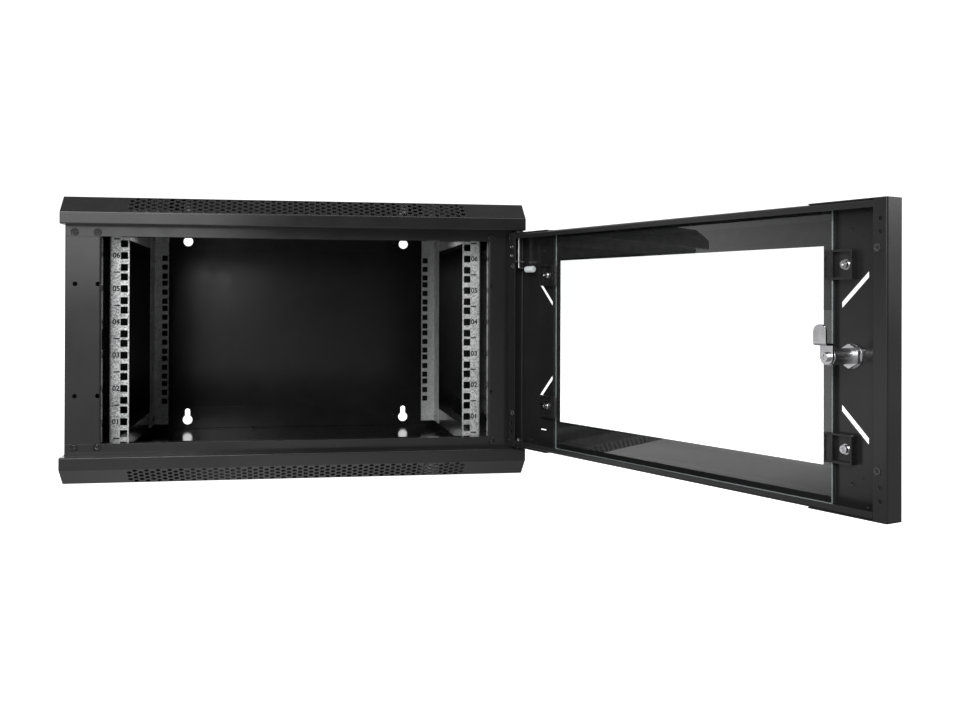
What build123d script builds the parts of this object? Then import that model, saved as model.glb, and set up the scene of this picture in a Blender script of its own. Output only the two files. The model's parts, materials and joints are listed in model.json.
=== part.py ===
"""Wall mount network cabinet, 6U, with a hinged glass door shown open.

Frame: origin at the centre of the rear (wall) face, +Z up, the front faces -Y. Millimetres.
"""
import math
import os

from build123d import *

# ---------------------------------------------------------------- driving sizes
W, D, H = 600.0, 600.0, 368.0          # overall body
U = 44.45                              # rack unit
NU = 6
T_COV = 1.2                            # cover sheet
T_FR = 1.5                             # frame sheet
T_SIDE = 1.2                           # side panel sheet
T_DOOR = 1.2                           # door sheet
LEDGE_Z = 147.2                        # underside of the cover ledge
FACE_TOP_Z = 163.0                     # top of the vertical front face of the cover
FACET_Y = -575.0                       # rear edge of the sloped facet
LEDGE_Y = -576.0                       # rear edge of the return ledge
VENT_D, VENT_PITCH, VENT_HALF = 6.0, 8.2, 215.0
ST_IN, ST_OUT, ST_Y, ST_REAR = 253.7, 296.8, -574.0, -558.0     # frame stiles
ST_Z = 170.0
RAIL_OPEN = NU * U / 2                 # 133.35, edge of the opening
RAIL_Y = ST_Y - 1.2
PANEL_Z = 176.0
MR_IN, MR_OUT, MR_Z = 225.9, 251.4, 168.0                       # mounting rails
MR_FRONT_Y, MR_REAR_Y = -523.6, -54.9
MR_FRONT_FL, MR_REAR_FL = 28.0, 50.0
SQ, SQ_X, SQ_DZ = 9.5, 232.55, 15.875
BR_Z0, BR_Z1, BR_FL = 141.5, 168.0, 20.0                        # depth brackets
KEY_X, KEY_D, KEY_W = 197.5, 17.0, 9.0                          # keyholes
KEY_Z = ((-166.0, -150.0), (160.0, 176.0))
CP_X, CP_UP, CP_LO = 186.0, (147.0, 181.0), (-181.0, -143.0)    # cable plates
# door: s from the hinge edge, n towards the inside of the cabinet, z up
DW, DT = 596.4, 23.0
DOOR_X0 = 297.95                       # X of s = 0 when closed
RIM_Y = -576.3                         # Y of n = 0 when closed
HX, HY = 292.65, -589.2                # hinge axis
HS, HN = DOOR_X0 - HX, HY - RIM_Y      # 5.3, -12.9
OPEN_DEG = 111.95                      # rest pose of the door
DZ_ST, DZ_RL = 144.0, 142.8            # half heights of stiles and rails
WIN_S0, WIN_S1, WIN_Z = 86.8, 509.6, 104.4
LIP_ST, LIP_RL = 14.5, 7.0
GL_S0, GL_S1, GL_Z, GL_T = 79.8, 524.4, 140.5, 5.0
LOCK_S, LOCK_Z = 542.8, 0.8
LOCK_R = 7.6
PIN_R = 2.3
EDGE_RIV_S = (30.0, 66.0)              # rivets through the nested end flanges
FRONT_RI = 2.4                         # inside bend radius at the front edge of the door

os.makedirs("parts", exist_ok=True)
PARTS = {}


# ---------------------------------------------------------------- helpers
def bx(x0, x1, y0, y1, z0, z1):
    x0, x1 = min(x0, x1), max(x0, x1)
    y0, y1 = min(y0, y1), max(y0, y1)
    z0, z1 = min(z0, z1), max(z0, z1)
    return Pos((x0 + x1) / 2, (y0 + y1) / 2, (z0 + z1) / 2) * Box(x1 - x0, y1 - y0, z1 - z0)


def rod(p, q, r):
    """Cylinder from point p to point q."""
    p, q = Vector(*p), Vector(*q)
    d = q - p
    pl = Plane(origin=p, z_dir=d.normalized())
    return pl.location * Pos(0, 0, d.length / 2) * Cylinder(r, d.length)


def hexrod(p, q, af):
    p, q = Vector(*p), Vector(*q)
    d = q - p
    pl = Plane(origin=p, z_dir=d.normalized())
    return pl.location * extrude(RegularPolygon(af / math.sqrt(3), 6), d.length)


def loop(pts, radii):
    """Closed face in local XY from corner points with a bend radius at each corner."""
    n = len(pts)
    st, en, mid = [], [], []
    for i in range(n):
        p0, p1, p2 = Vector(*pts[i - 1]), Vector(*pts[i]), Vector(*pts[(i + 1) % n])
        r = radii[i]
        if r <= 0:
            st.append(p1), en.append(p1), mid.append(None)
            continue
        u1, u2 = (p0 - p1).normalized(), (p2 - p1).normalized()
        ang = math.acos(max(-1, min(1, u1.dot(u2))))
        k = r / math.tan(ang / 2)
        b = (u1 + u2).normalized()
        c = p1 + b * (r / math.sin(ang / 2))
        st.append(p1 + u1 * k), en.append(p1 + u2 * k), mid.append(c - b * r)
    edges = []
    for i in range(n):
        if mid[i] is not None:
            edges.append(Edge.make_three_point_arc(st[i], mid[i], en[i]))
        a, b = en[i], st[(i + 1) % n]
        if (b - a).length > 1e-6:
            edges.append(Edge.make_line(a, b))
    return Face(Wire(edges))


def bent(pts, t, ri=0.8):
    """Sheet profile: pts run along one side, thickness t to the left of the way."""
    n = len(pts)
    v = [Vector(*p) for p in pts]
    dirs = [(v[i + 1] - v[i]).normalized() for i in range(n - 1)]
    nor = [Vector(-d.Y, d.X) for d in dirs]
    off = [v[0] + nor[0] * t]
    r1, r2 = [0.0], [0.0]
    for i in range(1, n - 1):
        a, b = nor[i - 1], nor[i]
        m = (a + b).normalized()
        off.append(v[i] + m * (t / m.dot(a)))
        left = dirs[i - 1].X * dirs[i].Y - dirs[i - 1].Y * dirs[i].X > 0
        q = ri[i - 1] if isinstance(ri, (list, tuple)) else ri
        r1.append(q + t if left else q)
        r2.append(q if left else q + t)
    off.append(v[-1] + nor[-1] * t)
    r1.append(0.0), r2.append(0.0)
    return loop([(p.X, p.Y) for p in v] + [(p.X, p.Y) for p in reversed(off)], r1 + r2[::-1])


def ext_x(face, x0, x1):
    """Profile in (Y, Z) pulled from x0 to x1."""
    return Plane(origin=(x0, 0, 0), x_dir=(0, 1, 0), z_dir=(1, 0, 0)).location * extrude(face, x1 - x0, dir=(0, 0, 1))


def ext_z(face, z0, z1):
    return Pos(0, 0, z0) * extrude(face, z1 - z0, dir=(0, 0, 1))


def mz(s):
    return s.mirror(Plane.XY)


def mx(s):
    return s.mirror(Plane.YZ)


def cut(base, tools):
    return base - list(tools) if tools else base


def solids(obj):
    if isinstance(obj, list):
        return [s for o in obj for s in solids(o)]
    return list(obj.solids())


def save(name, *objs):
    ss = solids(list(objs))
    PARTS[name] = ss
    export_step(Compound(children=ss) if len(ss) > 1 else ss[0], f"parts/{name}.step")


def cross_screw(p, d, r, hh, shank, length):
    """Pan-head cross screw: p under the head, d points from the head to the tip."""
    p, d = Vector(*p), Vector(*d).normalized()
    head = rod(tuple(p - d * hh), tuple(p), r)
    rim = [e for e in head.edges() if (e.center() - (p - d * hh)).length < 1e-3]
    try:
        head = fillet(rim, min(hh * 0.6, r * 0.45))
    except Exception:
        pass
    pl = Plane(origin=p - d * hh, z_dir=d)
    w = r * 0.3
    slot = pl.location * (Pos(0, 0, hh * 0.3) * (Box(r * 1.2, w, hh * 0.62) + Box(w, r * 1.2, hh * 0.62)))
    return (head + rod(tuple(p), tuple(p + d * length), shank)) - slot


# ---------------------------------------------------------------- covers
def make_cover():
    t = T_COV
    zi, ft = LEDGE_Z, FACE_TOP_Z
    out = loop([(0, zi), (-D, zi), (-D, ft), (FACET_Y, H / 2), (0, H / 2)], [0, 1.6, 2.4, 2.4, 0])
    # inner outline, one sheet thickness inside, open below behind the ledge and at the rear
    ny, nz = -(H / 2 - ft), -(D + FACET_Y) * -1.0
    ln = math.hypot(ny, nz)
    ny, nz = ny / ln, nz / ln                      # outward normal of the facet
    # facet line offset inwards
    p = (-D - ny * t, ft - nz * t)
    dy, dz = (D + FACET_Y), (H / 2 - ft)
    k = (-D + t - p[0]) / dy
    a = (-D + t, p[1] + dz * k)
    k = (H / 2 - t - p[1]) / dz
    b = (p[0] + dy * k, H / 2 - t)
    inn = loop([(5, zi - 2), (LEDGE_Y, zi - 2), (LEDGE_Y, zi + t), (-D + t, zi + t), a, b, (5, H / 2 - t)],
               [0, 0, 0, 0.4, 1.2, 1.2, 0])
    body = ext_x(out, -W / 2, W / 2)
    try:
        ee = [e for e in body.edges() if abs(abs(e.center().X) - W / 2) < 1e-6
              and e.center().Z > zi + 0.5 and e.center().Y < -0.5]
        body = fillet(ee, 0.9)
    except Exception:
        pass
    body = body - ext_x(inn, -W / 2 + t, W / 2 - t)
    # round vents through the sloped facet, staggered columns
    fdir = Vector(0, dy, dz).normalized()
    nrm = Vector(0, ny, nz)
    c0 = Vector(0, -D, ft)
    half = Vector(0, dy, dz).length / 2
    ncol = 2 * round(VENT_HALF / (VENT_PITCH * math.sqrt(3) / 2)) + 1
    tools = []
    for i in range(ncol):
        x = -VENT_HALF + 2 * VENT_HALF * i / (ncol - 1)
        for k in ((-1.5, -0.5, 0.5, 1.5) if i % 2 else (-1, 0, 1)):
            q = c0 + fdir * (half + k * VENT_PITCH) + Vector(x, 0, 0)
            tools.append(rod(tuple(q + nrm * 2), tuple(q - nrm * 4), VENT_D / 2))
    # hole for the hinge bush in the ledge
    tools.append(rod((HX, HY, zi - 1), (HX, HY, zi + t + 1), 4.0))
    # screw holes in the top sheet, over the back panel return and the front frame
    for x in (-240, -80, 80, 240):
        tools.append(rod((x, -8.0, H / 2 - 4), (x, -8.0, H / 2 + 2), 2.1))
    return cut(body, tools)


top = make_cover()
save("top_cover", top)
save("bottom_cover", mz(top))

# ---------------------------------------------------------------- side panels
for nm, sx in (("left", -1), ("right", 1)):
    p = bx(sx * ST_OUT, sx * (ST_OUT + T_SIDE), ST_Y, 0, -PANEL_Z, PANEL_Z)
    p = cut(p, [rod((sx * 290, y, z), (sx * 303, y, z), 2.1) for y in (-566.0, -6.0) for z in (-155, 155)])
    save(f"{nm}_side_panel", p)

# ---------------------------------------------------------------- back panel
bp = bx(-ST_OUT, ST_OUT, -T_FR, 0, -H / 2 + T_COV, H / 2 - T_COV)
bp = bp + [bx(-ST_OUT, -ST_OUT + T_FR, -13, 0, -H / 2 + T_COV, H / 2 - T_COV),
           bx(ST_OUT - T_FR, ST_OUT, -13, 0, -H / 2 + T_COV, H / 2 - T_COV),
           bx(-ST_OUT, ST_OUT, -14, 0, H / 2 - T_COV - T_FR, H / 2 - T_COV),
           bx(-ST_OUT, ST_OUT, -14, 0, -H / 2 + T_COV, -H / 2 + T_COV + T_FR)]
tools = []
for x in (-KEY_X, KEY_X):
    for z0, z1 in KEY_Z:
        tools.append(rod((x, -5, z0), (x, 5, z0), KEY_D / 2))
        tools.append(bx(x - KEY_W / 2, x + KEY_W / 2, -5, 5, z0, z1))
        tools.append(rod((x, -5, z1), (x, 5, z1), KEY_W / 2))
tools.append(bx(-CP_X + 16, CP_X - 16, -5, 5, CP_UP[0] + 6, CP_UP[1] - 7))
tools.append(bx(-CP_X + 16, CP_X - 16, -5, 5, CP_LO[0] + 7, CP_LO[1] - 7))
PLATE_SCR = [(x, z) for z in ((CP_UP[0] + CP_UP[1]) / 2, (CP_LO[0] + CP_LO[1]) / 2) for x in (-178, -62, 62, 178)]
PLATE_SCR = [(x, z) for x, z in PLATE_SCR if abs(x) > 170]
tools += [rod((x, -8, z), (x, 5, z), 1.7) for x, z in PLATE_SCR]
for sx in (-1, 1):
    for z in (-155, 155):
        tools.append(rod((sx * 290, -6.0, z), (sx * 303, -6.0, z), 1.7))
        tools.append(rod((sx * 264, -8, z), (sx * 264, 5, z), 2.1))
for x in (-240, -80, 80, 240):
    for sz in (-1, 1):
        tools.append(rod((x, -8, sz * 178), (x, -8, sz * 185), 1.7))
save("back_panel", cut(bp, tools))

up = bx(-CP_X, CP_X, -T_FR - 1.2, -T_FR, *CP_UP)
lo = bx(-CP_X, CP_X, -T_FR - 1.2, -T_FR, *CP_LO)
save("upper_cable_plate", cut(up, [rod((x, -8, z), (x, 5, z), 2.1) for x, z in PLATE_SCR if z > 0]))
save("lower_cable_plate", cut(lo, [rod((x, -8, z), (x, 5, z), 2.1) for x, z in PLATE_SCR if z < 0]))
save("cable_plate_screws", [cross_screw((x, -T_FR - 1.2, z), (0, 1, 0), 3.5, 2.2, 1.65, 2.7) for x, z in PLATE_SCR])

# ---------------------------------------------------------------- front frame
CORNER = [(x, z) for x in (257.8, 286.0) for z in (138.5,)]


def make_stile(notch):
    """Right-hand stile; the way runs along the faces towards the room."""
    t = T_FR
    face = bx(ST_IN, ST_OUT, ST_Y, ST_Y + t, -ST_Z, ST_Z)
    oflange = bx(ST_OUT - t, ST_OUT, ST_Y, ST_Y + 16, -ST_Z, ST_Z)
    # inner flange with a rear return, its bend notched at every rack unit
    zf = RAIL_OPEN - 0.6
    inner = bent([(ST_IN + 16.0, ST_REAR), (ST_IN, ST_REAR), (ST_IN, ST_Y), (ST_IN + 12.0, ST_Y)], t, 0.8)
    inner = ext_z(inner, -zf, zf)
    gaps = [bx(ST_IN - 5, ST_IN + 4, ST_REAR - 7, ST_REAR + 5, z - 2.15, z + 2.15)
            for z in [(k - 2.5) * U for k in range(6)]]
    if notch:
        # way for the crank of the lock tongue
        gaps.append(bx(ST_IN - 5, ST_IN + 6.8, ST_Y + 5.5, ST_REAR + 5, -13.0, 14.0))
    face = cut(face, [bx(ST_IN - 1, ST_IN + 12.0, ST_Y - 1, ST_Y + 3, -zf, zf)])
    s = face + [oflange, cut(inner, gaps)]
    tools = [rod((x, ST_Y - 5, z), (x, ST_Y + 5, z), 3.0 if notch else 1.6) for x in (257.5, 285.8) for z in (-72, 72)]
    tools += [rod((x, ST_Y - 5, sz * z), (x, ST_Y + 5, sz * z), 1.7) for x, z in CORNER for sz in (-1, 1)]
    tools += [rod((x, ST_Y - 5, sz * 155), (x, ST_Y + 5, sz * 155), 2.1) for x in (268,) for sz in (-1, 1)]
    tools += [rod((290, -566.0, z), (303, -566.0, z), 1.7) for z in (-155, 155)]
    return cut(s, tools)


save("right_front_stile", make_stile(False))
save("left_front_stile", mx(make_stile(True)))


def make_front_rail():
    r = bx(-ST_OUT, ST_OUT, RAIL_Y, ST_Y, RAIL_OPEN, 168)
    fl = bx(-(ST_IN - 2.2), ST_IN - 2.2, RAIL_Y, RAIL_Y + 16, RAIL_OPEN, RAIL_OPEN + 1.2)
    r = r + fl
    tools = [rod((sx * x, RAIL_Y - 5, z), (sx * x, RAIL_Y + 5, z), 1.75) for x, z in CORNER for sx in (-1, 1)]
    # pressed seat, so that the heads sit lower than the face
    tools += [rod((sx * x, RAIL_Y - 5, z), (sx * x, RAIL_Y + 0.8, z), 4.9) for x, z in CORNER for sx in (-1, 1)]
    tools += [rod((sx * 268, RAIL_Y - 5, 155), (sx * 268, RAIL_Y + 5, 155), 2.1) for sx in (-1, 1)]
    return cut(r, tools)


fr = make_front_rail()
save("top_front_rail", fr)
save("bottom_front_rail", mz(fr))
save("frame_corner_screws", [cross_screw((sx * x, RAIL_Y + 0.8, sz * z), (0, 1, 0), 4.2, 1.5, 1.65, 4.7)
                             for x, z in CORNER for sx in (-1, 1) for sz in (-1, 1)])

# ---------------------------------------------------------------- mounting rails
SQ_Z = [(2.5 - k) * U + d for k in range(NU) for d in (SQ_DZ, 0, -SQ_DZ)]


def make_rail(front):
    y0 = MR_FRONT_Y if front else MR_REAR_Y
    t = T_FR
    if front:
        prof = bent([(MR_IN, y0), (MR_OUT, y0), (MR_OUT, y0 + MR_FRONT_FL)], t, 0.8)
        fy = y0 + 16
    else:
        prof = bent([(MR_OUT, y0 - MR_REAR_FL), (MR_OUT, y0 + t), (MR_IN, y0 + t)], t, 0.8)
        fy = y0 - 16
    s = ext_z(prof, -MR_Z, MR_Z)
    tools = []
    for z in SQ_Z:
        c = bx(SQ_X - SQ / 2, SQ_X + SQ / 2, y0 - 5, y0 + 5, z - SQ / 2, z + SQ / 2)
        tools.append(fillet(c.edges().filter_by(Axis.Y), 0.9))
    for sz in (-1, 1):
        tools.append(rod((MR_OUT - 8, fy, sz * 155), (MR_OUT + 5, fy, sz * 155), 2.6))
    if not front:
        for k in range(NU):
            z = (2.5 - k) * U
            a = bx(MR_OUT - 5, MR_OUT + 5, y0 - 36, y0 - 24, z - 3, z + 3)
            tools.append(a)
    return cut(s, tools), fy


frail, fy_f = make_rail(True)
rrail, fy_r = make_rail(False)
save("front_right_mounting_rail", frail)
save("front_left_mounting_rail", mx(frail))
save("rear_right_mounting_rail", rrail)
save("rear_left_mounting_rail", mx(rrail))


# ---------------------------------------------------------------- depth brackets
def make_bracket():
    """Top right bracket."""
    t = T_FR
    x0 = MR_OUT
    web = bx(x0, x0 + t, ST_Y + T_FR, -T_FR, BR_Z0, BR_Z1)
    f1 = bx(x0, x0 + BR_FL, -556, -20, BR_Z0, BR_Z0 + t)
    f2 = bx(x0, x0 + BR_FL, -556, -20, BR_Z1 - t, BR_Z1)
    tf = bx(x0, x0 + 26, ST_Y + T_FR, ST_Y + T_FR + t, BR_Z0, BR_Z1)
    tr = bx(x0, x0 + 26, -2 * T_FR, -T_FR, BR_Z0, BR_Z1)
    s = web + [f1, f2, tf, tr]
    tools = [rod((268, ST_Y, 155), (268, ST_Y + 8, 155), 2.1), rod((264, -8, 155), (264, 2, 155), 2.1),
             rod((x0 - 3, fy_f, 155), (x0 + 5, fy_f, 155), 2.6), rod((x0 - 3, fy_r, 155), (x0 + 5, fy_r, 155), 2.6)]
    return cut(s, tools)


br = make_bracket()
save("top_right_depth_bracket", br)
save("bottom_right_depth_bracket", mz(br))
save("top_left_depth_bracket", mx(br))
save("bottom_left_depth_bracket", mz(mx(br)))

scr, nut = [], []
for sx in (-1, 1):
    for sz in (-1, 1):
        z = sz * 155
        scr.append(cross_screw((sx * 268, RAIL_Y, z), (0, 1, 0), 3.8, 2.2, 2.05, 8.6))
        yn = ST_Y + 2 * T_FR
        nut.append(hexrod((sx * 268, yn, z), (sx * 268, yn + 3.2, z), 7.0) - rod((sx * 268, yn - 1, z), (sx * 268, yn + 5, z), 2.05))
        scr.append(cross_screw((sx * 264, -2 * T_FR, z), (0, 1, 0), 3.8, 2.2, 2.05, 3.0))
save("bracket_screws", scr)
save("bracket_nuts", nut)

scr, nut = [], []
for sx in (-1, 1):
    for sz in (-1, 1):
        for fy in (fy_f, fy_r):
            z = sz * 155
            scr.append(cross_screw((sx * (MR_OUT - T_FR), fy, z), (sx, 0, 0), 4.6, 2.8, 2.5, 9.0))
            xn = MR_OUT + T_FR
            nut.append(hexrod((sx * xn, fy, z), (sx * (xn + 4), fy, z), 8.0) - rod((sx * (xn - 1), fy, z), (sx * (xn + 6), fy, z), 2.5))
save("rail_screws", scr)
save("rail_nuts", nut)

scr = []
for sx in (-1, 1):
    for y in (-566.0, -6.0):
        for z in (-155, 155):
            # countersunk under the cover ends: flat heads between panel and cover
            scr.append(rod((sx * (ST_OUT + T_SIDE), y, z), (sx * (ST_OUT + T_SIDE + 0.7), y, z), 3.4)
                       + rod((sx * (ST_OUT + T_SIDE), y, z), (sx * (ST_OUT - 3.5), y, z), 1.65))
for x in (-240, -80, 80, 240):
    for sz in (-1, 1):
        scr.append(cross_screw((x, -8, sz * H / 2), (0, 0, -sz), 3.6, 1.8, 1.65, 5.0))
save("panel_screws", scr)


# ---------------------------------------------------------------- hinge bushes
def make_bush():
    b = rod((HX, HY, LEDGE_Z - 2.8), (HX, HY, LEDGE_Z), 6.0) + rod((HX, HY, LEDGE_Z - 2.8), (HX, HY, LEDGE_Z + 5.4), 3.98)
    return b - rod((HX, HY, LEDGE_Z - 9), (HX, HY, LEDGE_Z + 9), PIN_R + 0.06)


bu = make_bush()
save("top_hinge_bush", bu)
save("bottom_hinge_bush", mz(bu))


# ---------------------------------------------------------------- door (drawn closed, then turned open)
def DX(s):
    return DOOR_X0 - s


def DY(n):
    return RIM_Y + n


def dbx(s0, s1, n0, n1, z0, z1):
    return bx(DX(s0), DX(s1), DY(n0), DY(n1), z0, z1)


def drod(p, q, r):
    return rod((DX(p[0]), DY(p[1]), p[2]), (DX(q[0]), DY(q[1]), q[2]), r)


AX = Axis((HX, HY, 0), (0, 0, 1))


def dsave(name, *objs):
    save(name, *[s.rotate(AX, OPEN_DEG) for s in solids(list(objs))])


def sheet_sn(pts, t, ri, z0, z1):
    """Sheet profile in (s, n) pulled along z; thickness to the left of the way in (X, Y)."""
    return ext_z(bent([(DX(s), DY(n)) for s, n in pts], t, ri), z0, z1)


NF = -DT                                # front face of the stile sheets
NI = NF + T_DOOR                        # inner face of the sheets, -21.8


def make_door_stile(lock):
    """Drawn with e = distance from the door edge; hinge side e = s, lock side e = DW - s."""
    def S(e):
        return DW - e if lock else e
    wid = DW - WIN_S1 if lock else WIN_S0
    pts = [(S(wid), NF), (S(0), NF), (S(0), 0), (S(LIP_ST), 0)]
    rr = [FRONT_RI, 0.9]
    if lock:
        pts, rr = pts[::-1], rr[::-1]
    body = ext_z(bent([(DX(s), DY(n)) for s, n in pts], T_DOOR, rr), -DZ_ST + T_DOOR, DZ_ST - T_DOOR)
    out = loop([(DX(S(wid)), DY(NF)), (DX(S(0)), DY(NF)), (DX(S(0)), DY(0)), (DX(S(wid)), DY(0))],
               [0, FRONT_RI + T_DOOR, 0.9 + T_DOOR, 0])
    s = body + [ext_z(out, DZ_ST - T_DOOR, DZ_ST), ext_z(out, -DZ_ST, -DZ_ST + T_DOOR)]
    tools = []
    eo, ei = (35.5, 66.0) if lock else (41.5, 71.0)
    for sz in (-1, 1):
        # diagonal slots with upright ends
        pa = [(eo, 80.0), (eo, 73.8), (ei, 44.8), (ei, 51.2)]
        f = make_face(Polyline(*[(DX(S(e)), sz * z) for e, z in pa], close=True))
        tools.append(Plane(origin=(0, DY(NI + 4), 0), x_dir=(1, 0, 0), z_dir=(0, -1, 0)).location * extrude(f, 12))
        for z in (124.9, 113.1):
            tools.append(drod((S(6.8), 4, sz * z), (S(6.8), -8, sz * z), 1.75 if sz > 0 and not lock else 2.25))
        tools.append(drod((S(10.0), 4, sz * 99), (S(10.0), -8, sz * 99), 1.6))
        if lock or sz > 0:
            # shallow pressed marks beside the frame corners
            tools.append(drod((S(53.0), NI + 6, sz * 118.5), (S(53.0), NI - 0.8, sz * 118.5), 2.2) - drod((S(53.0), NI + 6, sz * 118.5), (S(53.0), NI - 2, sz * 118.5), 0.9))
        else:
            tools.append(dbx(44.5, 57.5, NI + 6, NF - 4, -119.0, -117.6))
        ec = CLIP_E[lock][2]
        tools.append(drod((S(ec), NI + 6, sz * CLIP_Z), (S(ec), NF - 4, sz * CLIP_Z), 2.1))
        tools.append(drod((S(36.0), NI + 6, sz * 136.5), (S(36.0), NI - 0.7, sz * 136.5), 1.1))
        tools.append(drod((S(41.0), NI + 6, sz * 111.6), (S(41.0), NI - 0.7, sz * 111.6), 1.0))
        for e in EDGE_RIV_S:
            tools.append(drod((S(e), -8, sz * (DZ_ST - 3)), (S(e), -8, sz * (DZ_ST + 3)), 1.5))
    if lock:
        tools.append(drod((LOCK_S, NI + 6, LOCK_Z), (LOCK_S, NF - 4, LOCK_Z), LOCK_R + 0.05))
    else:
        for sz in (-1, 1):
            tools.append(drod((HS, HN, sz * (DZ_ST - 3)), (HS, HN, sz * (DZ_ST + 3)), PIN_R + 0.06))
    return cut(s, tools)


# glass clips: outer end, inner end and screw, from the door edge, for hinge and lock side
CLIP_E = {False: (51.0, 86.0, 62.0), True: (48.5, 80.0, 58.0)}
CLIP_Z, CLIP_H = 86.0, 14.0

dsave("door_hinge_stile", make_door_stile(False))
dsave("door_lock_stile", make_door_stile(True))


def make_door_rail():
    """Top rail, profile in (Y, Z); its end flange and lip go on inside the ends of the stiles."""
    zl = DZ_RL - LIP_RL
    s = ext_x(bent([(DY(0), zl), (DY(0), DZ_RL), (DY(NF), DZ_RL), (DY(NF), WIN_Z)], T_DOOR, [0.9, FRONT_RI]),
              DX(WIN_S1), DX(WIN_S0))
    ends = bent([(DY(0), zl), (DY(0), DZ_RL), (DY(NI), DZ_RL)], T_DOOR, 0.9)
    s = s + [ext_x(ends, DX(WIN_S0), DX(15.0)), ext_x(ends, DX(DW - 15.0), DX(WIN_S1))]
    tools = [drod((ss, -8, 138), (ss, -8, 146), 1.5) for e in EDGE_RIV_S for ss in (e, DW - e)]
    return cut(s, tools)


drl = make_door_rail()
dsave("door_top_rail", drl)
dsave("door_bottom_rail", mz(drl))

# rivets: rings on the lips, and through the nested end flanges
rv = []
for ee in (10.0, DW - 10.0):
    for sz in (-1, 1):
        rv.append((drod((ee, 0, sz * 99), (ee, 0.9, sz * 99), 3.6) + drod((ee, 0, sz * 99), (ee, -2.2, sz * 99), 1.6))
                  - drod((ee, 2, sz * 99), (ee, 0.2, sz * 99), 1.9))
for e in EDGE_RIV_S:
    for ss in (e, DW - e):
        for sz in (-1, 1):
            z0 = sz * (DZ_RL - T_DOOR)
            rv.append(drod((ss, -8, z0 - sz * 0.8), (ss, -8, z0), 2.5) + drod((ss, -8, z0 - sz * 0.4), (ss, -8, sz * DZ_ST), 1.5))
dsave("door_rivets", rv)

# glazing tape and pane
N_G0 = NI + 0.5
tape = [dbx(GL_S0 + 2, GL_S1 - 2, NI, N_G0, sz * (WIN_Z + 3), sz * (GL_Z - 12)) for sz in (-1, 1)]
tape += [dbx(GL_S0 + 1, WIN_S0 - 1, NI, N_G0, -WIN_Z + 1, WIN_Z - 1),
         dbx(WIN_S1 + 1, GL_S1 - 1, NI, N_G0, -WIN_Z + 1, WIN_Z - 1)]
dsave("glazing_tape", tape)
N_G1 = N_G0 + GL_T
pane = dbx(GL_S0, GL_S1, N_G0, N_G1, -GL_Z, GL_Z)
try:
    pane = fillet(pane.edges().filter_by(Axis.Y), 2.0)
    pane = chamfer([e for e in pane.edges() if abs(e.center().Y - DY(N_G0)) < 1e-4 or abs(e.center().Y - DY(N_G1)) < 1e-4], 0.9)
except Exception:
    pass
dsave("door_glass", pane)


# ---------------------------------------------------------------- glass clips
def make_clip(lock, zc):
    def S(e):
        return DW - e if lock else e
    gl = DW - GL_S1 if lock else GL_S0
    e0, e1, es = CLIP_E[lock]
    n_top = N_G1 + 2.4
    b = dbx(S(e0), S(e1), NI, n_top, zc - CLIP_H, zc + CLIP_H)
    b = fillet(b.edges().filter_by(Axis.Y), 1.2)
    hz = CLIP_H - 2.0
    tools = [dbx(S(gl - 0.4), S(e1 + 6), NI - 1, N_G1, zc - 20, zc + 20),       # room for the pane
             dbx(S(e0 + 1.8), S(gl - 2.0), NI + 3.2, n_top + 2, zc - hz, zc + hz),  # tray
             dbx(S(gl + 0.8), S(e1 - 1.6), N_G1 + 1.4, n_top + 2, zc - hz, zc + hz),
             drod((S(es), NI - 3, zc), (S(es), n_top, zc), 2.1)]
    return cut(b, tools)


dsave("glass_clips", [make_clip(lk, sz * CLIP_Z) for lk in (False, True) for sz in (-1, 1)])


def DP(s, n, z):
    return (DX(s), DY(n), z)


cs, cw = [], []
for lk in (False, True):
    for sz in (-1, 1):
        s0 = DW - CLIP_E[lk][2] if lk else CLIP_E[lk][2]
        z = sz * CLIP_Z
        n0 = NI + 3.2
        hole = drod((s0, n0 - 2, z), (s0, n0 + 4, z), 2.1)
        flat = drod((s0, n0, z), (s0, n0 + 0.8, z), 5.0) - hole
        spr = drod((s0, n0 + 0.8, z), (s0, n0 + 1.9, z), 3.7) - hole - dbx(s0 - 0.4, s0 + 0.4, n0 + 0.8, n0 + 3, z, z + 6)
        cw += [flat, spr]
        cs.append(cross_screw(DP(s0, n0 + 1.9, z), (0, -1, 0), 3.9, 2.6, 2.05, 6.1))
dsave("clip_screws", cs)
dsave("clip_washers", cw)

# ---------------------------------------------------------------- spring pin of the upper hinge
# angle bracket inside the lip, with two guide tabs for the pin
bk = dbx(2.3, 13.0, -2.7, -T_DOOR, 104.5, 141.5)
bk = bk + [dbx(1.5, 11.0, HN - 5.0, -2.7, 104.5, 106.0), dbx(1.5, 11.0, HN - 5.0, -2.7, 140.0, 141.5)]
bk = bk - ([drod((HS, HN, 100), (HS, HN, 150), PIN_R + 0.06)]
           + [drod((6.8, 4, z), (6.8, -8, z), 1.7) for z in (124.9, 113.1)])
dsave("hinge_pin_bracket", bk)
dsave("hinge_bracket_screws", [cross_screw(DP(6.8, 0, z), (0, -1, 0), 2.8, 1.3, 1.65, 4.6) for z in (124.9, 113.1)])

R_ARM = 4.0
PIN_BEND = 94.4
path_pts = [DP(HS, HN, 152.0), DP(HS, HN, PIN_BEND + R_ARM)]
pin = rod(path_pts[0], path_pts[1], PIN_R)
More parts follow.
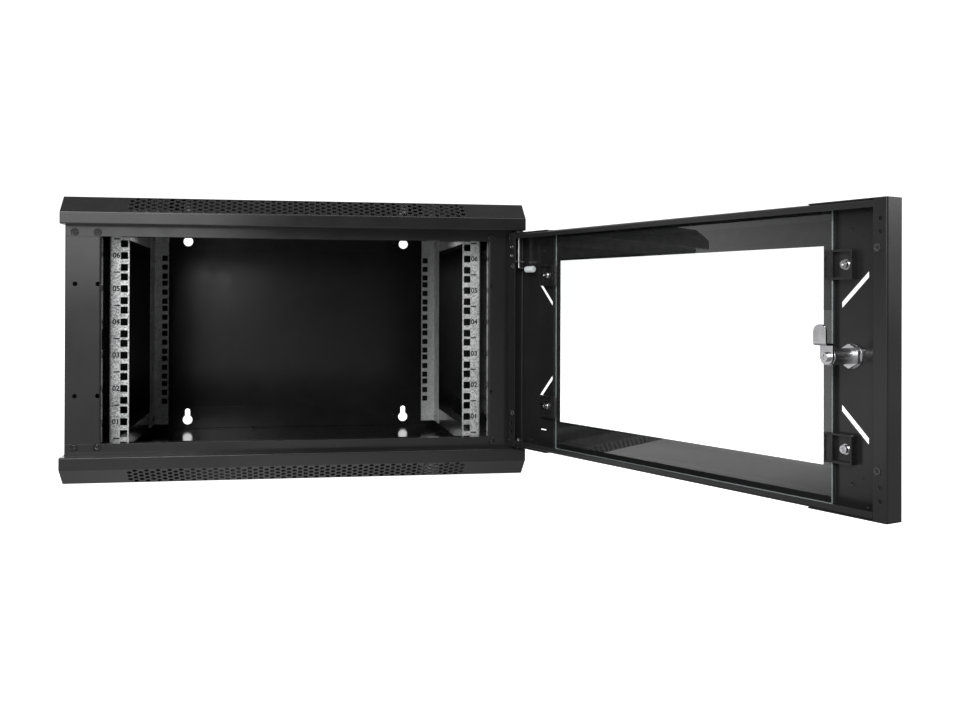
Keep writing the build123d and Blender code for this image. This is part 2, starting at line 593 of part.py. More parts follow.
# quarter bend into the arm
c = Vector(*DP(HS + R_ARM, HN, PIN_BEND + R_ARM))
arc = Edge.make_three_point_arc(Vector(*DP(HS, HN, PIN_BEND + R_ARM)),
                                c + Vector(1, 0, -1).normalized() * R_ARM,
                                Vector(*DP(HS + R_ARM, HN, PIN_BEND)))
prof = Plane(origin=DP(HS, HN, PIN_BEND + R_ARM), z_dir=(0, 0, -1)).location * Circle(PIN_R)
bendpart = sweep(prof, path=arc)
arm = rod(DP(HS + R_ARM, HN, PIN_BEND), DP(39.5, HN, PIN_BEND), PIN_R)
pin = pin + [bendpart, arm]
try:
    pin = chamfer([e for e in pin.edges() if abs(e.center().Z - 152.0) < 1e-3], 0.9)
except Exception:
    pass
dsave("top_hinge_pin", pin)
sl = drod((23.5, HN, PIN_BEND), (40.5, HN, PIN_BEND), 4.3)
try:
    sl = fillet(sl.edges().filter_by(GeomType.CIRCLE), 1.4)
except Exception:
    pass
dsave("pin_sleeve", sl - drod((10.0, HN, PIN_BEND), (39.5, HN, PIN_BEND), PIN_R))
COL_Z = 138.4
dsave("pin_collar", drod((HS, HN, COL_Z), (HS, HN, COL_Z + 1.2), 3.5) - drod((HS, HN, COL_Z - 2), (HS, HN, COL_Z + 4), PIN_R))
SPR_Z0, SPR_Z1, SPR_R, SPR_W = 106.0, COL_Z, 2.95, 0.4
turns = 13
hx = Helix(pitch=(SPR_Z1 - SPR_Z0 - 2 * SPR_W) / turns, height=SPR_Z1 - SPR_Z0 - 2 * SPR_W, radius=SPR_R)
hp = Plane(origin=hx @ 0, z_dir=hx % 0).location * Circle(SPR_W)
coil = sweep(hp, path=hx, is_frenet=True)
rings = [Pos(0, 0, 0) * Torus(SPR_R, SPR_W), Pos(0, 0, SPR_Z1 - SPR_Z0 - 2 * SPR_W) * Torus(SPR_R, SPR_W)]
spring = coil + rings
dsave("hinge_spring", Pos(*DP(HS, HN, SPR_Z0 + SPR_W)) * spring)

# ---------------------------------------------------------------- fixed lower pin
foot = dbx(2.3, 13.0, -2.7, -T_DOOR, -141.0, -129.0) + dbx(1.5, 11.0, HN - 5.0, -2.7, -138.5, -137.0)
lp = foot + drod((HS, HN, -137.0), (HS, HN, -152.0), PIN_R)
lp = lp + drod((HS, HN, -137.0), (HS, HN, -135.2), 3.2)
dsave("bottom_hinge_pin", lp)

# ---------------------------------------------------------------- cam lock
NB1 = 12.3                              # rear end of the lock body
body = drod((LOCK_S, NF, LOCK_Z), (LOCK_S, NB1 - 1.2, LOCK_Z), LOCK_R) + drod((LOCK_S, NF - 2.6, LOCK_Z), (LOCK_S, NF, LOCK_Z), 11.0)
try:
    body = fillet([e for e in body.edges() if abs(e.center().Y - DY(NF - 2.6)) < 1e-3], 1.2)
except Exception:
    pass
body = body + (drod((LOCK_S, NB1 - 1.2, LOCK_Z), (LOCK_S, NB1 - 0.2, LOCK_Z), LOCK_R - 0.4))
body = body - drod((LOCK_S, NF - 5, LOCK_Z), (LOCK_S, NB1 + 5, LOCK_Z), 5.55)
dsave("lock_body", body)
nw = drod((LOCK_S, NI, LOCK_Z), (LOCK_S, NI + 1.0, LOCK_Z), 11.6) - drod((LOCK_S, NI - 1, LOCK_Z), (LOCK_S, NI + 3, LOCK_Z), LOCK_R)
dsave("lock_washer", nw)
hn = hexrod(DP(LOCK_S, NI + 1.0, LOCK_Z), DP(LOCK_S, NI + 5.5, LOCK_Z), 20.5)
try:
    hn = hn & drod((LOCK_S, NI + 0.5, LOCK_Z), (LOCK_S, NI + 6.0, LOCK_Z), 11.4)
except Exception:
    pass
dsave("lock_nut", hn - drod((LOCK_S, NI, LOCK_Z), (LOCK_S, NI + 7, LOCK_Z), LOCK_R))
plug = drod((LOCK_S, NF - 2.6, LOCK_Z), (LOCK_S, NB1, LOCK_Z), 5.5)
plug = plug + dbx(LOCK_S - 3.5, LOCK_S + 3.5, NB1, NB1 + 2.0, LOCK_Z - 3.5, LOCK_Z + 3.5)
plug = plug - [dbx(LOCK_S - 3.2, LOCK_S + 3.2, NF - 4, NF + 8, LOCK_Z - 0.9, LOCK_Z + 0.9),
               drod((LOCK_S, NB1 - 6, LOCK_Z), (LOCK_S, NB1 + 5, LOCK_Z), 1.95)]
dsave("lock_plug", plug)
# cranked cam, tongue up (unlocked)
cam = dbx(LOCK_S - 7.2, LOCK_S + 7.2, NB1, NB1 + 2.0, LOCK_Z, LOCK_Z + 12.5) + drod((LOCK_S, NB1, LOCK_Z), (LOCK_S, NB1 + 2.0, LOCK_Z), 7.2)
crank = loop([(DY(NB1), LOCK_Z + 10.5), (DY(NB1), LOCK_Z + 12.5), (DY(NB1 + 9.5), LOCK_Z + 12.5), (DY(NB1 + 9.5), LOCK_Z + 30),
              (DY(NB1 + 11.5), LOCK_Z + 30), (DY(NB1 + 11.5), LOCK_Z + 10.5)], [0, 1.0, 0.8, 0, 0, 3.0])
cr = ext_x(crank, DX(LOCK_S + 7.2), DX(LOCK_S - 7.2))
try:
    cr = fillet([e for e in cr.edges().filter_by(Axis.Y) if e.center().Z > LOCK_Z + 29], 6.8)
except Exception:
    pass
cam = cam + cr - dbx(LOCK_S - 3.5, LOCK_S + 3.5, NB1 - 1, NB1 + 3, LOCK_Z - 3.5, LOCK_Z + 3.5)
dsave("lock_cam", cam)
cwz = drod((LOCK_S, NB1 + 2.0, LOCK_Z), (LOCK_S, NB1 + 3.2, LOCK_Z), 4.6) - drod((LOCK_S, NB1, LOCK_Z), (LOCK_S, NB1 + 6, LOCK_Z), 2.0)
cwz = cwz - dbx(LOCK_S - 0.4, LOCK_S + 0.4, NB1 + 1, NB1 + 6, LOCK_Z, LOCK_Z + 8)
dsave("cam_washer", cwz)
dsave("cam_screw", cross_screw(DP(LOCK_S, NB1 + 3.2, LOCK_Z), (0, -1, 0), 4.3, 2.6, 1.95, 8.4))
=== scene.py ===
import json
import math

import bpy
from mathutils import Matrix, Vector


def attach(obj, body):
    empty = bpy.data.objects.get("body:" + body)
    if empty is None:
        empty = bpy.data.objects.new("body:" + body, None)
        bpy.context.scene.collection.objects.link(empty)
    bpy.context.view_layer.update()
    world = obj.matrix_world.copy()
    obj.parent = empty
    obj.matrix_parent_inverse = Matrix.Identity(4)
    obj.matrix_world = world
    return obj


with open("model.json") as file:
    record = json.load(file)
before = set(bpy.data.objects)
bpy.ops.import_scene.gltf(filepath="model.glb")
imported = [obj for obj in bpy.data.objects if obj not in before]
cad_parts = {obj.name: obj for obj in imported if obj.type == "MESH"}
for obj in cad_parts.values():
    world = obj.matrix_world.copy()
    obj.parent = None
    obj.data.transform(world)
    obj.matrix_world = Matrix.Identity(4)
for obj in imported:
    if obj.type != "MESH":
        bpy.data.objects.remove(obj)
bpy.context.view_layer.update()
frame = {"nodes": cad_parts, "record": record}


NODES = frame["nodes"]
MM = 0.001


# ------------------------------------------------------------------ node helpers
class Tree:
    def __init__(self, name):
        self.m = bpy.data.materials.new(name)
        self.m.use_nodes = True
        self.t = self.m.node_tree
        self.t.nodes.clear()
        self.out = self.t.nodes.new("ShaderNodeOutputMaterial")
        self.b = self.t.nodes.new("ShaderNodeBsdfPrincipled")
        self.t.links.new(self.b.outputs[0], self.out.inputs[0])
        self.tc = self.t.nodes.new("ShaderNodeTexCoord")

    def n(self, kind, **kw):
        node = self.t.nodes.new("ShaderNode" + kind)
        for k, v in kw.items():
            setattr(node, k, v)
        return node

    def link(self, a, b):
        self.t.links.new(a, b)

    def mapped(self, scale=(1, 1, 1), rot=(0, 0, 0)):
        mp = self.n("Mapping")
        mp.inputs["Scale"].default_value = scale
        mp.inputs["Rotation"].default_value = rot
        self.link(self.tc.outputs["Object"], mp.inputs["Vector"])
        return mp.outputs["Vector"]

    def noise(self, scale, detail=3.0, rough=0.55, vec=None):
        nz = self.n("TexNoise")
        nz.inputs["Scale"].default_value = scale
        nz.inputs["Detail"].default_value = detail
        nz.inputs["Roughness"].default_value = rough
        self.link(vec if vec is not None else self.tc.outputs["Object"], nz.inputs["Vector"])
        return nz.outputs["Fac"]

    def rng(self, v, a, b, c, d):
        r = self.n("MapRange")
        r.inputs["From Min"].default_value = a
        r.inputs["From Max"].default_value = b
        r.inputs["To Min"].default_value = c
        r.inputs["To Max"].default_value = d
        self.link(v, r.inputs["Value"])
        return r.outputs["Result"]

    def math(self, op, a, b=None):
        m = self.n("Math", operation=op)
        for i, v in enumerate((a, b)):
            if v is None:
                continue
            if isinstance(v, (int, float)):
                m.inputs[i].default_value = v
            else:
                self.link(v, m.inputs[i])
        return m.outputs[0]

    def mix(self, fac, a, b):
        m = self.n("Mix", data_type="RGBA")
        if isinstance(fac, (int, float)):
            m.inputs[0].default_value = fac
        else:
            self.link(fac, m.inputs[0])
        for i, v in ((6, a), (7, b)):
            if isinstance(v, tuple):
                m.inputs[i].default_value = (*v, 1.0)
            else:
                self.link(v, m.inputs[i])
        return m.outputs[2]

    def bump(self, height, dist, strength=1.0, normal=None):
        b = self.n("Bump")
        b.inputs["Strength"].default_value = strength
        b.inputs["Distance"].default_value = dist
        self.link(height, b.inputs["Height"])
        if normal is not None:
            self.link(normal, b.inputs["Normal"])
        return b.outputs["Normal"]

    def bevel(self, radius):
        b = self.n("Bevel", samples=4)
        b.inputs["Radius"].default_value = radius
        return b.outputs["Normal"]

    def edge(self, bevel, lo=0.02, hi=0.25):
        """0 on flats, 1 on outer and inner corners."""
        g = self.n("NewGeometry")
        d = self.n("VectorMath", operation="DOT_PRODUCT")
        self.link(bevel, d.inputs[0])
        self.link(g.outputs["Normal"], d.inputs[1])
        return self.rng(self.math("SUBTRACT", 1.0, d.outputs["Value"]), lo, hi, 0.0, 1.0)


def powder(name, dark, light, r0, r1, grain=1400.0, depth=0.00003, radius=0.0007, spec=0.5, edge_tone=(0.11, 0.11, 0.115), edge_wear_and_highlight=0.35):
    """Powder coat: fine orange peel, faint cloudiness, edges lightened partly by wear and partly as a painted
    highlight, and a little dust.
    """
    t = Tree(name)
    big = t.noise(7.0, 4.0)
    mid = t.noise(60.0, 3.0)
    base = t.mix(t.rng(big, 0.35, 0.65, 0.0, 1.0), dark, light)
    bev = t.bevel(radius)
    # edges lightened towards edge_tone: some wear, the rest a painted highlight along the bevels
    e = t.math("MULTIPLY", t.edge(bev), t.rng(mid, 0.35, 0.6, edge_wear_and_highlight * 0.4, edge_wear_and_highlight))
    col = t.mix(e, base, edge_tone)
    # dust that settles on faces that look up
    g = t.n("NewGeometry")
    sep = t.n("SeparateXYZ")
    t.link(g.outputs["Normal"], sep.inputs[0])
    up = t.rng(sep.outputs["Z"], 0.6, 1.0, 0.0, 0.05)
    dust = t.math("MULTIPLY", up, t.rng(t.noise(26.0, 5.0, 0.65), 0.4, 0.75, 0.2, 1.0))
    col = t.mix(dust, col, (0.36, 0.35, 0.33))
    t.link(col, t.b.inputs["Base Color"])
    # the coat looks glossier at a flat angle
    lw = t.n("LayerWeight")
    lw.inputs["Blend"].default_value = 0.5
    graze = t.rng(lw.outputs["Facing"], 0.72, 0.95, 1.0, 0.5)
    t.link(t.math("MULTIPLY", t.rng(t.noise(34.0, 4.0), 0.3, 0.7, r0, r1), graze), t.b.inputs["Roughness"])
    t.b.inputs["Specular IOR Level"].default_value = spec
    fine = t.noise(grain, 2.0, 0.5)
    peel = t.noise(grain * 0.22, 1.0, 0.4)
    h = t.math("ADD", t.math("MULTIPLY", fine, 0.45), t.math("MULTIPLY", peel, 1.0))
    t.link(t.bump(h, depth, 0.6, bev), t.b.inputs["Normal"])
    return t.m


def galvanised(name):
    t = Tree(name)
    warp = t.n("VectorMath", operation="ADD")
    nz = t.n("TexNoise")
    nz.inputs["Scale"].default_value = 120.0
    t.link(t.tc.outputs["Object"], nz.inputs["Vector"])
    sc = t.n("VectorMath", operation="SCALE")
    sc.inputs["Scale"].default_value = 0.004
    t.link(nz.outputs["Color"], sc.inputs[0])
    t.link(t.tc.outputs["Object"], warp.inputs[0])
    t.link(sc.outputs[0], warp.inputs[1])
    v = t.n("TexVoronoi", feature="F1")
    v.inputs["Scale"].default_value = 620.0
    t.link(warp.outputs[0], v.inputs["Vector"])
    sep = t.n("SeparateColor")
    t.link(v.outputs["Color"], sep.inputs[0])
    v2 = t.n("TexVoronoi", feature="F1")
    v2.inputs["Scale"].default_value = 1400.0
    t.link(warp.outputs[0], v2.inputs["Vector"])
    sep2 = t.n("SeparateColor")
    t.link(v2.outputs["Color"], sep2.inputs[0])
    cell = t.math("ADD", t.math("MULTIPLY", sep.outputs[0], 0.75), t.math("MULTIPLY", sep2.outputs[1], 0.25))
    cloud = t.noise(30.0, 4.0)
    c = t.math("ADD", t.math("MULTIPLY", cell, 0.7), t.math("MULTIPLY", cloud, 0.5))
    sepo = t.n("SeparateXYZ")
    t.link(t.tc.outputs["Object"], sepo.inputs[0])
    # painted light and shade: the rear rails, deep in the cabinet, get their own flatter copy of the spangle tone,
    # set to how bright they look in there
    rear_rail_mask = t.rng(sepo.outputs["Y"], -0.4, -0.1, 0.0, 1.0)
    front_rail_tone = t.mix(t.rng(c, 0.36, 0.74, 0.0, 1.0), (0.34, 0.345, 0.35), (0.90, 0.91, 0.91))
    rear_painted_light_tone = t.mix(t.rng(c, 0.3, 0.85, 0.0, 1.0), (0.40, 0.405, 0.41), (0.70, 0.71, 0.71))
    col = t.mix(rear_rail_mask, front_rail_tone, rear_painted_light_tone)
    # painted light: the rails on the right are lightened up to a fifth towards white, as if lit more from the left
    col = t.mix(t.rng(sepo.outputs["X"], -0.1, 0.2, 0.0, 0.2), col, (1.0, 1.0, 1.0))
    bev = t.bevel(0.0004)
    # bevelled edges lightened towards near-white: bright cut edges together with a painted highlight
    col = t.mix(t.math("MULTIPLY", t.edge(bev), 0.5), col, (0.88, 0.88, 0.88))
    t.link(col, t.b.inputs["Base Color"])
    t.b.inputs["Metallic"].default_value = 0.5
    t.link(t.rng(sep.outputs[2], 0.0, 1.0, 0.32, 0.55), t.b.inputs["Roughness"])
    streak = t.noise(400.0, 2.0, 0.5, t.mapped((6, 6, 0.4)))
    t.link(t.bump(t.math("ADD", cell, streak), 0.00002, 0.5, bev), t.b.inputs["Normal"])
    return t.m


def metal(name, base, r0, r1, streaks=(1, 1, 1), scale=900.0, radius=0.0003, tint=(0.6, 0.6, 0.62), thread=None):
    t = Tree(name)
    big = t.noise(70.0, 3.0)
    bev = t.bevel(radius)
    col = t.mix(t.rng(big, 0.3, 0.7, 0.0, 1.0), base, tint)
    t.link(col, t.b.inputs["Base Color"])
    t.b.inputs["Metallic"].default_value = 1.0
    t.link(t.rng(t.noise(160.0, 4.0), 0.3, 0.7, r0, r1), t.b.inputs["Roughness"])
    nrm = t.bump(t.noise(scale, 2.0, 0.5, t.mapped(streaks)), 0.000015, 0.35, bev)
    if thread is not None:
        # fine screw thread around the given axis
        d = t.n("VectorMath", operation="DOT_PRODUCT")
        t.link(t.tc.outputs["Object"], d.inputs[0])
        d.inputs[1].default_value = thread
        nrm = t.bump(t.math("SINE", t.math("MULTIPLY", d.outputs["Value"], 6283.0)), 0.00004, 1.0, nrm)
    t.link(nrm, t.b.inputs["Normal"])
    return t.m


def black_zinc(name):
    """Blackened screw steel with a painted highlight: the rim and the edges of the cross recess are lightened and
    made metallic.
    """
    t = Tree(name)
    bev = t.bevel(0.0006)
    col = t.mix(t.rng(t.noise(220.0, 3.0), 0.35, 0.65, 0.0, 1.0), (0.006, 0.006, 0.007), (0.014, 0.014, 0.015))
    # painted highlight: rim and cross-recess edges lightened towards grey and made metallic
    painted_rim_highlight = t.math("MULTIPLY", t.edge(bev, 0.01, 0.10), t.rng(t.noise(500.0, 2.0), 0.35, 0.6, 0.2, 1.0))
    col = t.mix(painted_rim_highlight, col, (0.5, 0.5, 0.51))
    t.link(col, t.b.inputs["Base Color"])
    t.link(painted_rim_highlight, t.b.inputs["Metallic"])
    t.b.inputs["Specular IOR Level"].default_value = 0.25
    t.link(t.rng(t.noise(160.0, 4.0), 0.3, 0.7, 0.16, 0.3), t.b.inputs["Roughness"])
    t.link(t.bump(t.noise(1200.0, 2.0), 0.00001, 0.35, bev), t.b.inputs["Normal"])
    return t.m


def plastic(name, dark, light, r0, r1, grain=1800.0, depth=0.00002, radius=0.0003):
    t = Tree(name)
    bev = t.bevel(radius)
    col = t.mix(t.rng(t.noise(90.0, 4.0), 0.35, 0.65, 0.0, 1.0), dark, light)
    # painted highlight: bevelled edges lightened to a bright copy of the light tone
    col = t.mix(t.math("MULTIPLY", t.edge(bev), 0.6), col, tuple(min(1.0, c * 2.6 + 0.05) for c in light))
    t.link(col, t.b.inputs["Base Color"])
    t.link(t.rng(t.noise(120.0, 3.0), 0.3, 0.7, r0, r1), t.b.inputs["Roughness"])
    t.link(t.bump(t.noise(grain, 2.0), depth, 0.6, bev), t.b.inputs["Normal"])
    return t.m


def glass(name, face):
    """Clear float glass with a faint film of finger marks; the cut edges are ground and whitish."""
    t = Tree(name)
    t.b.inputs["Base Color"].default_value = (1.0, 1.0, 1.0, 1)
    t.b.inputs["Metallic"].default_value = 1.0
    t.link(t.rng(t.noise(18.0, 5.0, 0.7), 0.45, 0.75, 0.0, 0.012), t.b.inputs["Roughness"])
    # ground edge: every face that does not look along the pane's own normal
    dt = t.n("VectorMath", operation="DOT_PRODUCT")
    t.link(t.tc.outputs["Normal"], dt.inputs[0])
    dt.inputs[1].default_value = face
    facing = t.math("ABSOLUTE", dt.outputs["Value"])
    side = t.math("LESS_THAN", facing, 0.9)
    arris = t.math("GREATER_THAN", facing, 0.3)
    ed = t.n("BsdfPrincipled")
    grit = t.rng(t.noise(300.0, 3.0), 0.3, 0.7, 0.0, 1.0)
    t.link(t.mix(arris, t.mix(grit, (0.03, 0.036, 0.035), (0.05, 0.06, 0.058)), t.mix(grit, (0.22, 0.25, 0.25), (0.34, 0.37, 0.37))), ed.inputs["Base Color"])
    ed.inputs["Roughness"].default_value = 0.3
    # a flat pane: light passes straight through, both surfaces together mirror a little
    fres = t.n("Fresnel")
    fres.inputs["IOR"].default_value = 1.5
    gb = t.n("NewGeometry")
    mirror = t.math("MULTIPLY", t.math("MULTIPLY", fres.outputs[0], 2.8), t.math("SUBTRACT", 1.0, gb.outputs["Backfacing"]))
    clear = t.n("BsdfTransparent")
    clear.inputs["Color"].default_value = (0.985, 0.995, 0.99, 1)
    m0 = t.n("MixShader")
    t.link(t.math("MINIMUM", mirror, 1.0), m0.inputs[0])
    t.link(clear.outputs[0], m0.inputs[1])
    t.link(t.b.outputs[0], m0.inputs[2])
    m1 = t.n("MixShader")
    t.link(side, m1.inputs[0])
    t.link(m0.outputs[0], m1.inputs[1])
    t.link(ed.outputs[0], m1.inputs[2])
    lp = t.n("LightPath")
    tr = t.n("BsdfTransparent")
    mx = t.n("MixShader")
    t.link(lp.outputs["Is Shadow Ray"], mx.inputs[0])
    t.link(m1.outputs[0], mx.inputs[1])
    t.link(tr.outputs[0], mx.inputs[2])
    t.link(mx.outputs[0], t.out.inputs[0])
    return t.m


# the pane's normal with the door open as in the photograph
OPEN = math.radians(111.95)
PANE_NORMAL = (-math.sin(OPEN), math.cos(OPEN), 0.0)

M = {
    "powder_black": powder("powder_black", (0.014, 0.014, 0.015), (0.020, 0.020, 0.021), 0.16, 0.22),
    "powder_black_door": powder("powder_black_door", (0.017, 0.017, 0.018), (0.023, 0.023, 0.024), 0.18, 0.25, spec=0.5),
    "galvanised": galvanised("galvanised"),
    "black_screw": black_zinc("black_screw"),
    "zinc_steel": metal("zinc_steel", (0.80, 0.80, 0.81), 0.09, 0.2),
    "chrome_plate": metal("chrome_plate", (0.74, 0.74, 0.75), 0.08, 0.18, tint=(0.56, 0.56, 0.58)),
    "nylon_black": plastic("nylon_black", (0.014, 0.014, 0.014), (0.022, 0.022, 0.022), 0.22, 0.34),
    "vinyl_white": plastic("vinyl_white", (0.82, 0.88, 0.89), (0.90, 0.94, 0.94), 0.2, 0.32),
    "float_glass": glass("float_glass", PANE_NORMAL),
    "black_tape": plastic("black_tape", (0.012, 0.012, 0.012), (0.02, 0.02, 0.02), 0.7, 0.85, 900.0, 0.0001),
}
SLOT = {s["node"]: s["material_slot"] for s in frame["record"]["subparts"]}
# details that need a finish of their own; the rivets' one paints a highlight on their rims
OWN = {
    "lock_body": metal("chrome_thread", (0.88, 0.88, 0.89), 0.15, 0.25, tint=(0.72, 0.72, 0.74), thread=PANE_NORMAL),
    # painted highlight: rivet rims lightened almost to mid grey at full edge strength
    "door_rivets": powder("powder_rivet", (0.015, 0.015, 0.016), (0.022, 0.022, 0.023), 0.16, 0.24, edge_tone=(0.50, 0.50, 0.51), edge_wear_and_highlight=1.0),
}
for name, o in NODES.items():
    mat = OWN.get(name, M[SLOT[name]])
    o.data.materials.clear()
    o.data.materials.append(mat)


# ------------------------------------------------------------------ printed rack-unit numbers
ink = plastic("print_ink", (0.004, 0.004, 0.004), (0.012, 0.012, 0.012), 0.55, 0.75)
U = 44.45
RAIL_Y = -523.6


def as_mesh(o, name):
    dg = bpy.context.evaluated_depsgraph_get()
    me = bpy.data.meshes.new_from_object(o.evaluated_get(dg))
    me.name = name
    r = bpy.data.objects.new(name, me)
    bpy.context.scene.collection.objects.link(r)
    r.matrix_world = o.matrix_world.copy()
    bpy.data.objects.remove(o)
    r.data.transform(r.matrix_world)
    r.matrix_world = Matrix.Identity(4)
    return r


def label(text, name, x, y, z, size, width_to):
    cu = bpy.data.curves.new(name, "FONT")
    cu.body = text
    cu.align_x = "CENTER"
    cu.align_y = "CENTER"
    cu.size = size
    cu.extrude = 0.00003
    cu.offset = 0.00026
    o = bpy.data.objects.new(name + "_t", cu)
    bpy.context.scene.collection.objects.link(o)
    o.matrix_world = Matrix.Translation((x, y, z)) @ Matrix.Rotation(math.radians(90), 4, "X")
    bpy.context.view_layer.update()
    r = as_mesh(o, name)
    r.data.materials.clear()
    r.data.materials.append(ink)
    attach(r, "cabinet")
    return r


def dash(name, x, y, z, w, h):
    """A printed tick with soft, rounded ends."""
    import bmesh
    bm = bmesh.new()
    pts = []
    n = 6
    r = h / 2
    for cx, a0 in ((w / 2 - r, -90), (-w / 2 + r, 90)):
        for i in range(n + 1):
            a = math.radians(a0 + 180 * i / n)
            pts.append((x + cx + r * math.cos(a), z + r * math.sin(a)))
    f = [bm.verts.new((px, y - 0.00003, pz)) for px, pz in pts]
    b = [bm.verts.new((px, y + 0.00002, pz)) for px, pz in pts]
    bm.faces.new(f)
    bm.faces.new(b[::-1])
    k = len(f)
    for i in range(k):
        bm.faces.new((f[i], b[i], b[(i + 1) % k], f[(i + 1) % k]))
    bmesh.ops.recalc_face_normals(bm, faces=bm.faces)
    me = bpy.data.meshes.new(name)
    bm.to_mesh(me)
    bm.free()
    o = bpy.data.objects.new(name, me)
    bpy.context.scene.collection.objects.link(o)
    me.materials.append(ink)
    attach(o, "cabinet")
    return o


for side, sx in (("left", -1), ("right", 1)):
    for u in range(1, 7):
        z = (u - 3.5) * U
        label(f"{u:02d}", f"unit_number_{side}_{u:02d}", sx * 242.7 * MM, (RAIL_Y - 0.02) * MM, z * MM, 0.0096, 0.009)
    for k in range(7):
        z = (k - 3) * U
        dash(f"unit_tick_{side}_{k}", sx * 241.8 * MM, RAIL_Y * MM, z * MM, 8.2 * MM, 1.7 * MM)

# ------------------------------------------------------------------ stage
import bmesh
bm = bmesh.new()
S = 40.0
Z0 = -0.1846
vs = [bm.verts.new(p) for p in ((-S, -S, Z0), (S, -S, Z0), (S, S, Z0), (-S, S, Z0))]
bm.faces.new(vs)
me = bpy.data.meshes.new("stage_floor")
bm.to_mesh(me)
bm.free()
floor = bpy.data.objects.new("stage_floor", me)
bpy.context.scene.collection.objects.link(floor)
ft = Tree("stage_floor")
ft.b.inputs["Base Color"].default_value = (0.7, 0.7, 0.7, 1)
ft.b.inputs["Roughness"].default_value = 0.9
ft.b.inputs["Specular IOR Level"].default_value = 0.1
# the floor is seen nearly white, as a bright sweep
fl_em = ft.n("Emission")
fl_em.inputs[0].default_value = (1, 1, 1, 1)
fl_em.inputs[1].default_value = 1.15
fl_add = ft.n("AddShader")
fl_lp = ft.n("LightPath")
fl_mix = ft.n("MixShader")
ft.link(ft.b.outputs[0], fl_add.inputs[0])
ft.link(fl_em.outputs[0], fl_add.inputs[1])
ft.link(fl_lp.outputs["Is Camera Ray"], fl_mix.inputs[0])
fl_em2 = ft.n("Emission")
fl_em2.inputs[0].default_value = (1, 1, 1, 1)
# painted light: for all but camera rays the floor glows, brighter on the left and close to the opening, dimmer on the
# right
fl_sep = ft.n("SeparateXYZ")
ft.link(ft.tc.outputs["Object"], fl_sep.inputs[0])
fl_near = ft.math("MULTIPLY", ft.rng(fl_sep.outputs["Y"], -0.86, -1.02, 0.44, 0.0), ft.math("MULTIPLY", ft.rng(fl_sep.outputs["X"], 0.08, 0.34, 1.0, 0.15), ft.rng(fl_sep.outputs["X"], -0.30, -0.05, 0.0, 1.0)))
fl_side = ft.math("MULTIPLY", ft.rng(fl_sep.outputs["X"], 0.55, 0.8, 0.0, 0.8), ft.rng(fl_sep.outputs["Y"], -1.05, -0.9, 0.0, 1.0))
ft.link(ft.math("ADD", ft.math("ADD", fl_near, fl_side), ft.rng(fl_sep.outputs["X"], -0.5, 0.25, 0.60, 0.14)), fl_em2.inputs[1])
# painted shade: for those rays the floor is a dark copy of its pale self
fl_dim = ft.n("BsdfDiffuse")
fl_dim.inputs["Color"].default_value = (0.15, 0.15, 0.15, 1)
fl_add2 = ft.n("AddShader")
ft.link(fl_dim.outputs[0], fl_add2.inputs[0])
ft.link(fl_em2.outputs[0], fl_add2.inputs[1])
ft.link(fl_add2.outputs[0], fl_mix.inputs[1])
ft.link(fl_add.outputs[0], fl_mix.inputs[2])
ft.link(fl_mix.outputs[0], ft.out.inputs[0])
me.materials.append(ft.m)

# ------------------------------------------------------------------ light
WORLD_FRONT, WORLD_TOP, WORLD_LEFT, WORLD_RIGHT = 0.10, 1.2, 0.05, 0.70
scene = bpy.context.scene
w = bpy.data.worlds.new("studio")
scene.world = w
w.use_nodes = True
bg = w.node_tree.nodes["Background"]
bg.inputs[0].default_value = (1, 1, 1, 1)
wt = w.node_tree
w_tc = wt.nodes.new("ShaderNodeTexCoord")
w_sep = wt.nodes.new("ShaderNodeSeparateXYZ")
wt.links.new(w_tc.outputs["Generated"], w_sep.inputs[0])


def w_range(src, a, b, c, d, smooth=True):
    n = wt.nodes.new("ShaderNodeMapRange")
    n.interpolation_type = "SMOOTHSTEP" if smooth else "LINEAR"
    for k, v in (("From Min", a), ("From Max", b), ("To Min", c), ("To Max", d)):
        n.inputs[k].default_value = v
    wt.links.new(src, n.inputs["Value"])
    return n.outputs["Result"]


w_mul = wt.nodes.new("ShaderNodeMath")
w_mul.operation = "MULTIPLY"
wt.links.new(w_range(w_sep.outputs["Y"], 0.20, 0.72, WORLD_FRONT, 1.22), w_mul.inputs[0])
wt.links.new(w_range(w_sep.outputs["Z"], 0.38, 1.0, 1.0, WORLD_TOP), w_mul.inputs[1])
w_add = wt.nodes.new("ShaderNodeMath")
w_add.operation = "ADD"
wt.links.new(w_mul.outputs[0], w_add.inputs[0])
wt.links.new(w_range(w_sep.outputs["X"], -0.5, -0.95, 0.0, WORLD_LEFT), w_add.inputs[1])
w_add2 = wt.nodes.new("ShaderNodeMath")
w_add2.operation = "ADD"
wt.links.new(w_add.outputs[0], w_add2.inputs[0])
wt.links.new(w_range(w_sep.outputs["X"], 0.7, 1.0, 0.0, WORLD_RIGHT), w_add2.inputs[1])
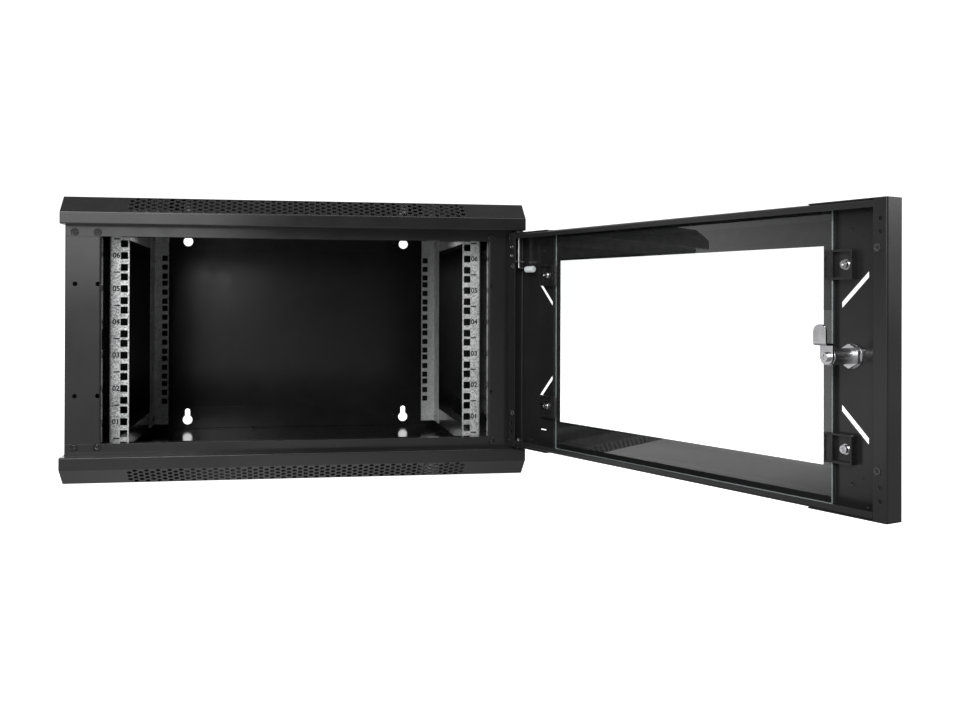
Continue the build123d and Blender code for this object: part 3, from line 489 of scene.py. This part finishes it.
# seen directly, or through the pane, the backdrop is plain white
w_lp = wt.nodes.new("ShaderNodeLightPath")
w_white = wt.nodes.new("ShaderNodeMath")
w_white.operation = "MULTIPLY"
w_white.inputs[1].default_value = 1.25
wt.links.new(w_lp.outputs["Is Camera Ray"], w_white.inputs[0])
w_max = wt.nodes.new("ShaderNodeMath")
w_max.operation = "MAXIMUM"
wt.links.new(w_add2.outputs[0], w_max.inputs[0])
wt.links.new(w_white.outputs[0], w_max.inputs[1])
wt.links.new(w_max.outputs[0], bg.inputs[1])


def area(name, loc, target, size, power, size_y=None):
    l = bpy.data.lights.new(name, "AREA")
    l.shape = "RECTANGLE"
    l.size = size
    l.size_y = size_y or size
    l.energy = power
    o = bpy.data.objects.new(name, l)
    scene.collection.objects.link(o)
    o.location = loc
    d = Vector(target) - Vector(loc)
    o.rotation_euler = d.to_track_quat("-Z", "Y").to_euler()
    return o


area("softbox_left", (-1.02, -3.1, 0.82), (-1.02, -0.6, 0.82), 1.6, 21.0, 1.4)
area("softbox_high", (-1.05, -3.0, 1.50), (0.05, -0.50, 0.0), 1.8, 38.0, 1.2)
area("overhead", (0.25, -1.15, 1.75), (0.25, -1.0, 0.0), 1.4, 9.0, 0.5)
area("strip_right", (2.9, -1.9, 1.0), (0.5, -1.0, 0.0), 1.2, 14.0, 1.2)
area("panel_behind", (2.05, -0.30, 1.40), (0.5, -1.0, 0.0), 0.9, 10.0, 0.9)

# ------------------------------------------------------------------ camera
cam = bpy.data.cameras.new("camera")
co = bpy.data.objects.new("camera", cam)
scene.collection.objects.link(co)
cam.sensor_width = 36.0
cam.sensor_fit = "HORIZONTAL"
cam.lens = 39.58
cam.shift_x = 0.0109
cam.shift_y = -0.0647
cam.clip_start = 0.05
cam.clip_end = 200.0
right = Vector((0.985725, -0.168334, 0.003162))
up = Vector((-0.003957, -0.004385, 0.999982))
back = Vector((-0.168317, -0.985720, -0.004989))
co.matrix_world = Matrix((
    (right.x, up.x, back.x, -0.0149),
    (right.y, up.y, back.y, -1.9927),
    (right.z, up.z, back.z, 0.0489),
    (0, 0, 0, 1)))
scene.camera = co
scene.view_settings.view_transform = "Standard"
